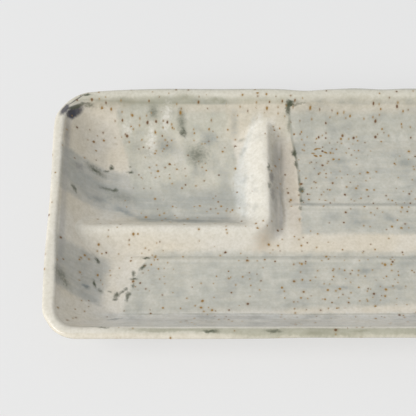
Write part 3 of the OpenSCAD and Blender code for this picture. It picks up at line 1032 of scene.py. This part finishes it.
# slips that iron shows through, painted highlights that hide it, and the edges of marks
GREY_SLIPS = ("slip_grey", "sage", "olive")
HIGHLIGHT_TONES = ("frost", "white")
SPOT_SPREAD = 1.3
SPOT_GRAIN = 0.34
SPOT_SOFT = 0.2
SPOT_END = 1.1
EVEN_CORE = 0.5

# the crease along the wall's foot lies this far outside the floor's outline
CREASE_OUT = 0.6


def plan_places(nodes):
    """Object coordinates in millimetres, the same plus fine noise, plus slow noise too, and fine grain."""
    true = nodes.scaled(nodes.add("ShaderNodeTexCoord", {}, "Object"), 1.0 / MM)
    slow = nodes.vector("SUBTRACT", nodes.noise(true, scale=0.06, output=1), MIDDLE_GREY)
    fine = nodes.vector("SUBTRACT", nodes.noise(true, scale=0.45, output=1), MIDDLE_GREY)
    wet = nodes.vector("ADD", true, nodes.scaled(fine, WET_SHIFT))
    grain = nodes.math("MULTIPLY_ADD", nodes.noise(true, scale=0.75, detail=4.0), 4.0, -2.0)
    return Places(true, wet, nodes.vector("ADD", wet, nodes.scaled(slow, HAND_SHIFT)), grain)


def measured(nodes, place, middle, turn):
    """Distances along and across a mark from its middle: dot products with its direction and its side."""
    offset = nodes.vector("SUBTRACT", place, (*middle, 0.0))
    c, s = math.cos(turn), math.sin(turn)
    along = nodes.vector("DOT_PRODUCT", offset, (c, s, 0.0), output=1)
    return along, nodes.vector("DOT_PRODUCT", offset, (-s, c, 0.0), output=1)


def heading(stroke):
    """A stroke's length, and its direction as an angle from +X."""
    run_x, run_y = np.array(stroke.end) - np.array(stroke.start)
    return float(np.hypot(run_x, run_y)), math.atan2(run_y, run_x)


def begun(nodes, stroke, along, across):
    """Distance past a stroke's start edge, which leans and curves as a parabola across it."""
    if not (stroke.slant or stroke.bow):
        return along
    lean = nodes.math("MULTIPLY", across, nodes.math("MULTIPLY_ADD", across, stroke.bow, stroke.slant))
    return nodes.math("SUBTRACT", along, lean)


def stroke_cover(nodes, places, stroke, number):
    """How far a stroke covers, from 0 to 1.

    It is the product of soft steps at its start, sides and end, less what its bristles leave open: noise
    drawn out along the stroke, fine hairs and broad bands together, and a little even grain.
    """
    reach, turn = heading(stroke)
    local = nodes.join(*measured(nodes, places.true, stroke.start, turn), 0.0)
    hairs = nodes.vector("MULTIPLY_ADD", local, HAIR_DRAW, (0.0, 0.0, HAIR_APART * number))
    bands = nodes.vector("MULTIPLY_ADD", local, BAND_DRAW, (0.0, 0.0, BAND_APART * number))
    hair = nodes.noise(hairs, detail=3.0)
    fine = nodes.math("MULTIPLY", hair, HAIR_SHARE)
    bristle = nodes.math("MULTIPLY_ADD", nodes.noise(bands, detail=3.0), BAND_SHARE, fine)
    bristle = nodes.math("MULTIPLY_ADD", places.grain, GRAIN_SHARE, bristle)
    pulled = nodes.math("MULTIPLY_ADD", hair, HAIR_PULL, -HAIR_PULL / 2.0)
    edge = places.wet if stroke.bead else places.ragged
    along, across = measured(nodes, edge, stroke.start, turn)
    start = nodes.step(begun(nodes, stroke, along, across), -stroke.lead, stroke.lead)
    inside = nodes.math("SUBTRACT", stroke.width / 2.0, nodes.math("ABSOLUTE", across))
    if stroke.flare:
        inside = nodes.math("MULTIPLY_ADD", along, stroke.flare, inside)
    sides = nodes.step(nodes.math("MULTIPLY_ADD", pulled, SIDE_PULL, inside), -stroke.soft, stroke.soft)
    ended = nodes.math("ADD", nodes.math("SUBTRACT", reach, along), pulled)
    finish = nodes.step(ended, -stroke.fade, stroke.fade)
    hold = nodes.step(bristle, *BRISTLE_OPEN, stroke.load, stroke.load - stroke.dry)
    return nodes.both(start, sides, finish, hold)


def start_thread(nodes, places, stroke):
    """A soft dark line along a stroke's start edge, uneven in strength. It stops short of one end and is
    weaker at the other."""
    along, across = measured(nodes, places.true, stroke.start, heading(stroke)[1])
    away = nodes.math("ABSOLUTE", begun(nodes, stroke, along, across))
    away = nodes.math("MULTIPLY_ADD", places.grain, 0.25, away)
    inside = nodes.math("SUBTRACT", stroke.width / 2.0, nodes.math("ABSOLUTE", across))
    uneven = nodes.step(nodes.noise(places.true, scale=0.16), 0.38, 0.62, 0.45, 1.0)
    shown = nodes.both(nodes.step(inside, *THREAD_SIDES), nodes.step(across, *THREAD_FRONT))
    shown = nodes.both(shown, nodes.fall(across, *THREAD_BACK, THREAD_WEAK))
    return nodes.both(nodes.step(away, *THREAD_HALF, stroke.bead, 0.0), shown, uneven)


def turned_places(nodes, places):
    """Places in a frame for each angle that the marks have: dot products with the turned axes. Marks with a
    broad core keep an even edge, and the others a wet one."""
    frames = {}
    for angle, even in sorted({(spot.angle, spot.core > EVEN_CORE) for spot in SPOTS}):
        place = places.true if even else places.wet
        frames[angle, even] = nodes.join(*measured(nodes, place, (0.0, 0.0), math.radians(angle)), 0.0)
    return frames


def spot_mask(nodes, frames, grain, spot):
    """1 in the middle of an oval mark and 0 outside it, by the length of the offset over its half lengths,
    times its strength, with its edge broken up by grain."""
    c, s = math.cos(math.radians(spot.angle)), math.sin(math.radians(spot.angle))
    x, y = spot.place
    part_x, part_y = (1.0 / (SPOT_SPREAD * half) for half in spot.reach)
    shift = (-(c * x + s * y) * part_x, (s * x - c * y) * part_y, 0.0)
    place = frames[spot.angle, spot.core > EVEN_CORE]
    local = nodes.vector("MULTIPLY_ADD", place, (part_x, part_y, 0.0), shift)
    broken = SPOT_GRAIN * (1.0 - spot.core)
    away = nodes.math("MULTIPLY_ADD", grain, broken, nodes.vector("LENGTH", local, output=1))
    return nodes.step(away, spot.core - SPOT_SOFT, SPOT_END, spot.strength, 0.0)


def rim_inset(nodes, place, half_l, half_d, radius):
    """Distance inside a rounded rectangle: its radius less the length of the offset from its inner
    rectangle. Height doesn't count."""
    size = nodes.vector("ABSOLUTE", place)
    beyond = nodes.vector("SUBTRACT", size, (half_l - radius, half_d - radius, 1e6))
    outside = nodes.vector("LENGTH", nodes.vector("MAXIMUM", beyond, (0.0, 0.0, 0.0)), output=1)
    return nodes.math("SUBTRACT", radius, outside)


def floor_crease(nodes, places, sizes):
    """A thin broken line along the front foot of the wall, near the floor's outline."""
    half_l = (WALL_HIGH[0] - sizes.lip_w - sizes.end_run) / MM
    half_d = (WALL_HIGH[1] - sizes.side_lip_w - sizes.side_run) / MM + CREASE_OUT
    inset = rim_inset(nodes, places.true, half_l, half_d, sizes.floor_corner / MM)
    x, y = nodes.plan(places.true)
    broken = nodes.noise(nodes.vector("MULTIPLY", places.true, (0.06, 0.3, 0.0)))
    line = nodes.both(nodes.fall(nodes.math("ABSOLUTE", inset), 0.1, 0.7), nodes.fall(y, -48.0, -46.0))
    return nodes.both(line, nodes.step(x, -90.0, -74.0), nodes.step(broken, 0.35, 0.60, 0.25, 1.0))


def lip_bands(nodes, places, sizes):
    """Bands along the lip from the first to the last laid: mask, strength and tone of each.

    Masks are soft steps in X, in Y and in the distance in from the lip's inner edge, which is below 0 on
    the lip, all in millimetres. At the back lie slip over the lip's inner edge, a film on its top, a grey
    line on its outer edge, a thin line under it and a paler band on the top of the wall, painted light that
    lifts the shade under the lip. At the front lie a warm outer edge, a painted highlight along the inner
    edge, and a film and a dark band beside that. Under the end lips lies a painted shade.
    """
    half_l, half_d = (WALL_HIGH[0] - sizes.lip_w) / MM, (WALL_HIGH[1] - sizes.side_lip_w) / MM
    corner = lip_inner_corner(sizes) / MM
    edge = rim_inset(nodes, places.true, half_l, half_d, corner)
    hand = rim_inset(nodes, places.ragged, half_l, half_d, corner)
    x, y = nodes.plan(places.true)
    back, before = nodes.step(y, 57.0, 62.0), nodes.fall(y, -62.0, -57.0)
    front = nodes.both(before, nodes.step(x, -96.0, -64.0))
    ends = nodes.both(nodes.math("SUBTRACT", 1.0, back), nodes.step(y, -52.0, -36.0))
    left, right = nodes.fall(x, -62.0, -20.0, 0.3), nodes.step(x, -58.0, -12.0)
    patchy = nodes.step(nodes.noise(places.true, scale=0.05), 0.36, 0.62, 0.5, 1.0)

    back_slip = nodes.both(nodes.window(hand, (-2.4, 0.2), (0.8, 3.2)), back, left)
    back_film = nodes.both(nodes.fall(edge, -1.0, 1.0), back, patchy)
    outer_line = nodes.both(nodes.fall(edge, -5.6, -4.2), back)
    warm_edge = nodes.both(nodes.fall(edge, -5.0, -4.0), before)
    # a painted highlight along the front lip's inner edge
    from_highlight = nodes.math("ABSOLUTE", nodes.math("ADD", edge, 0.8))
    highlight_line = nodes.both(nodes.fall(from_highlight, 0.4, 1.4), front)
    far = nodes.math("MULTIPLY_ADD", right, 1.7, hand)
    loaded = nodes.both(front, nodes.step(right, 0.0, 1.0, 0.78, 1.0))
    on_lip = nodes.fall(edge, -2.3, -1.7)
    front_film = nodes.both(nodes.step(far, -6.4, -3.0), on_lip, loaded)
    inner_band = nodes.both(nodes.step(far, -4.4, -3.2), on_lip, front, patchy)
    end_shade = nodes.both(nodes.window(edge, (0.2, 1.4), (2.0, 4.4)), ends)
    from_crease = nodes.math("ABSOLUTE", nodes.math("SUBTRACT", edge, 0.8))
    back_line = nodes.both(nodes.fall(from_crease, 0.1, 0.6), back, patchy, left)
    # a paler band on the top of the back wall under the lip: painted light that lifts the shade there
    bare = nodes.both(nodes.step(x, -74.0, -44.0), nodes.fall(x, 0.0, 8.0, 0.45))
    wall_top_light = nodes.both(nodes.window(edge, (0.8, 1.6), (3.0, 4.6)), back, bare)
    return (
        (back_slip, 0.42, "moss"),
        (back_film, 0.30, "olive"),
        (outer_line, 0.62, "slip_grey"),
        (back_line, 0.26, "moss"),
        (wall_top_light, 0.66, "cream_warm"),
        (warm_edge, 0.60, "cream_warm"),
        (highlight_line, 0.55, "white"),
        (front_film, 0.70, "olive"),
        (inner_band, 0.50, "moss"),
        (end_shade, 0.38, "lilac"),
    )


def iron_speckle(nodes, places, speck, shown=1.0):
    """Cores, halos and tones of specks, one at most in each cell of the plan.

    A speck's size and tone are its cell's own random numbers, and slow noise gathers the specks in
    clusters. The share of cells that hold one is multiplied by how far specks are shown.
    """
    near = nodes.vector("ADD", nodes.scaled(places.wet, 0.25), nodes.scaled(places.true, 0.75))
    inputs = {"Vector": nodes.scaled(near, 1.0 / speck.cell), "Scale": 1.0, "Randomness": 1.0}
    cells = nodes.add("ShaderNodeTexVoronoi", inputs, "Distance", voronoi_dimensions="2D")
    away = nodes.math("MULTIPLY", cells, speck.cell)
    luck = nodes.add("ShaderNodeSeparateColor", {0: cells.node.outputs["Color"]}).node.outputs
    fewest, highest = 0.2 * speck.share, 2.0 * speck.share
    crowd = nodes.step(nodes.noise(places.true, scale=0.06), 0.38, 0.64, fewest, highest)
    there = nodes.math("LESS_THAN", luck["Blue"], nodes.math("MULTIPLY", crowd, shown))
    size = nodes.math("POWER", luck["Red"], 2.0)
    reach = nodes.math("MULTIPLY_ADD", size, speck.most - speck.least, speck.least)
    ratio = nodes.math("DIVIDE", away, reach)
    core = nodes.math("MULTIPLY", nodes.fall(ratio, 0.4, 1.2), there)
    halo = nodes.math("MULTIPLY", nodes.fall(ratio, 0.8, 2.6), there)
    return core, halo, luck["Green"]


def speck_share(nodes, place, grey, white):
    """How far iron shows: more through grey slip, on the well's back wall and in the middle of the right
    field, and less under the painted highlights in white and frost, on the left wall, in the well and
    between the ribs."""
    x, y = nodes.plan(place)
    slip = nodes.both(nodes.step(grey, 0.1, 0.6, 0.8, 1.5), nodes.fall(white, 0.2, 0.7, 0.15))
    back = nodes.step(y, 46.0, 56.0, 1.0, nodes.step(x, 0.0, 15.0, 1.5, 0.9))
    inside = nodes.window(y, (8.0, 14.0), (40.0, 48.0))
    middle = nodes.math("MULTIPLY_ADD", inside, nodes.step(x, -20.0, 10.0, -0.35, 0.6), 1.0)
    between = nodes.both(nodes.window(y, (-24.0, -18.0), (6.0, 12.0)), nodes.step(x, -5.0, 10.0))
    ribs = nodes.math("MULTIPLY_ADD", between, -0.5, 1.0)
    return nodes.both(slip, nodes.step(x, -112.0, -90.0, 0.8, 1.0), back, middle, ribs)


def brushed_slip(nodes, places, colours, colour):
    """Lays the strokes over a colour in turn and mottles them. Gives back the new colour, and how far grey
    slips and the painted highlights in white and frost cover it."""
    thick, grey, white = 0.0, 0.0, 0.0
    for number, stroke in enumerate(STROKES):
        cover = stroke_cover(nodes, places, stroke, number)
        colour = nodes.mix(cover, colour, getattr(colours, stroke.tone))
        thick = nodes.math("MAXIMUM", thick, cover)
        if stroke.tone in GREY_SLIPS:
            grey = nodes.math("MAXIMUM", grey, cover)
        if stroke.tone in HIGHLIGHT_TONES:
            white = nodes.math("MAXIMUM", white, cover)
    mottle = nodes.noise(places.true, scale=0.11, detail=4.0)
    deep = nodes.both(nodes.step(mottle, 0.46, 0.70), thick, 0.60)
    colour = nodes.mix(deep, colour, colours.slip_deep)
    open_slip = nodes.both(nodes.fall(mottle, 0.32, 0.48), thick, 0.38)
    return nodes.mix(open_slip, colour, colours.cream), grey, white


def glaze_edges(nodes, places, colours, sizes, colour):
    """Darkens a colour where the film gathers, which on the ribs' back slopes is painted shade too, pales
    it where the film is thin, which on the crests is a painted highlight, and lays the bands along the lip
    and the crease along the wall's foot."""
    film = nodes.attribute("glaze_film_and_painted_light")
    # where the film gathers: glaze, and painted shade on the ribs' back slopes
    gathered_and_shade = nodes.math("MAXIMUM", film, 0.0)
    colour = nodes.mix(nodes.math("MULTIPLY", gathered_and_shade, 0.6), colour, colours.pool)
    # where the film is thin: the lip's broken glaze, and a painted highlight on the crests
    thin = nodes.math("MAXIMUM", nodes.math("MULTIPLY", film, -1.0), 0.0)
    colour = nodes.mix(nodes.math("MULTIPLY", thin, 0.9), colour, colours.lip)
    for band, strength, tone in lip_bands(nodes, places, sizes):
        colour = nodes.mix(nodes.math("MULTIPLY", band, strength), colour, getattr(colours, tone))
    crease = floor_crease(nodes, places, sizes)
    return nodes.mix(nodes.math("MULTIPLY", crease, 0.40), colour, colours.moss)


def slip_marks(nodes, places, colours, colour):
    """Lays the dark threads of the strokes and then all the single marks over a colour."""
    for stroke in STROKES:
        if stroke.bead:
            colour = nodes.mix(start_thread(nodes, places, stroke), colour, colours.bead)
    frames = turned_places(nodes, places)
    for spot in SPOTS:
        mask = spot_mask(nodes, frames, places.grain, spot)
        colour = nodes.mix(mask, colour, getattr(colours, spot.tone))
    return colour


def brushed_glaze():
    """Clear glaze over cream clay, with brushed grey slip, dark beads of slip and iron speckle, and painted
    highlights and shade among the strokes, marks and lip bands.
    """
    material = bpy.data.materials.get("glazed_stoneware")
    if material:
        return material
    material = bpy.data.materials.new("glazed_stoneware")
    colours = bpy.context.scene.glaze_colours
    sizes = bpy.context.scene.plate_sizes
    nodes = Nodes(material)
    places = plan_places(nodes)
    place = places.true
    cloud = nodes.noise(place, scale=0.035, detail=3.0)
    clay = nodes.mix(nodes.step(cloud, 0.3, 0.7), colours.cream, colours.cream_warm)

    colour, grey, white = brushed_slip(nodes, places, colours, clay)
    colour = glaze_edges(nodes, places, colours, sizes, colour)
    colour = slip_marks(nodes, places, colours, colour)
    wash = nodes.noise(nodes.vector("MULTIPLY", place, (0.02, 0.02, 0.35)), detail=3.0)
    outside = nodes.mix(nodes.step(wash, 0.42, 0.68, 0.0, 0.75), clay, colours.slip_grey)
    colour = nodes.mix(nodes.attribute("outer_face"), colour, outside)
    grain = nodes.step(nodes.noise(place, scale=0.30, detail=5.0), 0.3, 0.7)
    colour = nodes.mix(nodes.math("MULTIPLY", grain, 0.6), colour, srgb(240, 239, 236), "MULTIPLY")
    sand = nodes.step(places.grain, -0.7, 0.9)
    colour = nodes.mix(nodes.math("MULTIPLY", sand, 0.7), colour, srgb(240, 239, 234), "MULTIPLY")

    rough = nodes.step(nodes.noise(place, scale=0.15), 0.3, 0.7, 0.14, 0.24)
    shown = speck_share(nodes, place, grey, white)
    for speck in GLAZE_SPECKS:
        core, halo, luck = iron_speckle(nodes, places, speck, shown)
        tone = nodes.mix(nodes.step(luck, 0.1, 0.5), colours.iron, colours.rust)
        colour = nodes.mix(nodes.math("MULTIPLY", halo, 0.16), colour, colours.rust)
        colour = nodes.mix(nodes.math("MULTIPLY", core, speck.depth), colour, tone)
        rough = nodes.math("MULTIPLY_ADD", core, 0.15, rough)

    bristle = nodes.noise(nodes.vector("MULTIPLY", place, (0.03, 0.9, 0.9)), detail=3.0)
    skin = nodes.math("MULTIPLY_ADD", bristle, 0.5, nodes.noise(place, scale=0.22, detail=3.0))
    bump = nodes.bump(skin, strength=0.35, distance=0.12 * MM)
    nodes.finish(Base_Color=colour, Roughness=rough, Normal=bump, IOR=1.5)
    return material


def raw_clay():
    """Bare fired clay, sandy and matt, with iron specks and a toasted line where the glaze ends."""
    material = bpy.data.materials.new("bare_stoneware")
    colours = bpy.context.scene.glaze_colours
    nodes = Nodes(material)
    places = plan_places(nodes)
    sand = nodes.noise(places.true, scale=1.8, detail=4.0)
    cloud = nodes.noise(places.true, scale=0.08, detail=3.0)
    colour = nodes.mix(nodes.step(cloud, 0.3, 0.7), colours.clay, colours.cream_warm)
    colour = nodes.mix(nodes.step(sand, 0.55, 0.75, 0.0, 0.45), colour, colours.rust)
    toast = nodes.math("MULTIPLY", nodes.attribute("glaze_film_and_painted_light"), 0.35)
    colour = nodes.mix(toast, colour, colours.rust)
    core, _, _ = iron_speckle(nodes, places, CLAY_SPECK)
    colour = nodes.mix(nodes.math("MULTIPLY", core, CLAY_SPECK.depth), colour, colours.iron)
    rough = nodes.step(sand, 0.3, 0.7, 0.72, 0.92)
    bump = nodes.bump(sand, strength=0.6, distance=0.15 * MM)
    nodes.finish(Base_Color=colour, Roughness=rough, Normal=bump)
    return material


TABLE_HALF = 4.0
TABLE_GREYS = (srgb(150, 150, 150), srgb(152, 152, 152))
TABLE_GLOW = 1.62
SKY_COLOUR = (0.96, 0.98, 1.0, 1.0)
SKY_STRENGTH = 0.60
LAMP_AIM = (-0.04, 0.0, 0.0)
LAMP_WAY = (-0.74, -0.33, 0.60)
LAMP_AWAY = 3.2
LAMP_WIDTH = 2.3
LAMP_POWER = 74.0
LAMP_COLOUR = (1.0, 0.985, 0.96)
CAMERA_PLACE = (-42.25 * MM, -327.5 * MM, 591.3 * MM)
CAMERA_TILT = math.radians(30.0)
CAMERA_LENS = 116.16
CAMERA_SENSOR = 36.0
CAMERA_CLIP = (0.05, 20.0)


class PLATE_OT_stage(bpy.types.Operator):
    """Makes the pale floor, the soft light and the camera"""

    bl_idname = "plate.stage"
    bl_label = "Stage"

    def execute(self, context):
        scene = context.scene
        scene.view_settings.view_transform = "Standard"
        self.table(scene)
        self.light(scene)
        self.camera(scene)
        return {"FINISHED"}

    def table(self, scene):
        """A flat square at the foot's height, in pale matt paper that glows softly, with a faint mottle."""
        corners = TABLE_HALF * np.array([(-1, -1, 0), (1, -1, 0), (1, 1, 0), (-1, 1, 0)], float)
        mesh = bpy.data.meshes.new("table_top")
        mesh.from_pydata(corners.tolist(), [], [(0, 1, 2, 3)])
        material = bpy.data.materials.new("table_paper")
        nodes = Nodes(material)
        mottle = nodes.noise(nodes.add("ShaderNodeTexCoord", {}, "Object"), scale=3.0)
        colour = nodes.mix(mottle, *TABLE_GREYS)
        nodes.finish(Base_Color=colour, Emission_Color=colour, Emission_Strength=TABLE_GLOW)
        nodes.finish(Roughness=0.9, Specular_IOR_Level=0.1)
        mesh.materials.append(material)
        table = bpy.data.objects.new("table_top", mesh)
        scene.collection.objects.link(table)

    def light(self, scene):
        """An even pale sky, and one broad soft lamp from the front left."""
        world = bpy.data.worlds.new("studio")
        world.use_nodes = True
        sky = world.node_tree.nodes["Background"]
        sky.inputs["Color"].default_value = SKY_COLOUR
        sky.inputs["Strength"].default_value = SKY_STRENGTH
        scene.world = world
        data = bpy.data.lights.new("key_light", "AREA")
        data.shape = "DISK"
        data.size = LAMP_WIDTH
        data.energy = LAMP_POWER
        data.color = LAMP_COLOUR
        lamp = bpy.data.objects.new("key_light", data)
        way = Vector(LAMP_WAY).normalized()
        lamp.location = Vector(LAMP_AIM) + LAMP_AWAY * way
        lamp.rotation_euler = way.to_track_quat("Z", "Y").to_euler()
        scene.collection.objects.link(lamp)

    def camera(self, scene):
        """Looks down at sixty degrees with a long lens; the picture is square."""
        data = bpy.data.cameras.new("photo_view")
        data.lens, data.sensor_width = CAMERA_LENS, CAMERA_SENSOR
        data.clip_start, data.clip_end = CAMERA_CLIP
        camera = bpy.data.objects.new("photo_view", data)
        camera.location = CAMERA_PLACE
        camera.rotation_euler = (CAMERA_TILT, 0.0, 0.0)
        scene.collection.objects.link(camera)
        scene.camera = camera


PIECES = (
    PLATE_OT_floor_slab,
    PLATE_OT_wall_band,
    PLATE_OT_sauce_divider,
    PLATE_OT_floor_ribs,
    PLATE_OT_foot_ring,
    PLATE_OT_stage,
)


class PLATE_PT_sidebar(bpy.types.Panel):
    """Lists the plate's sizes, colours and pieces"""

    bl_idname = "PLATE_PT_sidebar"
    bl_label = "Dumpling Plate"
    bl_space_type = "VIEW_3D"
    bl_region_type = "UI"
    bl_category = "Plate"

    def draw(self, context):
        for group in (context.scene.plate_sizes, context.scene.glaze_colours):
            box = self.layout.box()
            for name in group.__annotations__:
                box.prop(group, name)
        for operator in PIECES:
            self.layout.operator(operator.bl_idname)


CLASSES = (PlateSizes, GlazeColours, *PIECES, PLATE_PT_sidebar)


def register():
    for kind in CLASSES:
        bpy.utils.register_class(kind)
    bpy.types.Scene.plate_sizes = bpy.props.PointerProperty(type=PlateSizes)
    bpy.types.Scene.glaze_colours = bpy.props.PointerProperty(type=GlazeColours)


def unregister():
    del bpy.types.Scene.glaze_colours
    del bpy.types.Scene.plate_sizes
    for kind in reversed(CLASSES):
        bpy.utils.unregister_class(kind)


def main():
    register()
    bpy.ops.plate.floor_slab()
    bpy.ops.plate.wall_band()
    bpy.ops.plate.sauce_divider()
    bpy.ops.plate.floor_ribs()
    bpy.ops.plate.foot_ring()
    bpy.ops.plate.stage()


if __name__ == "__main__":
    main()
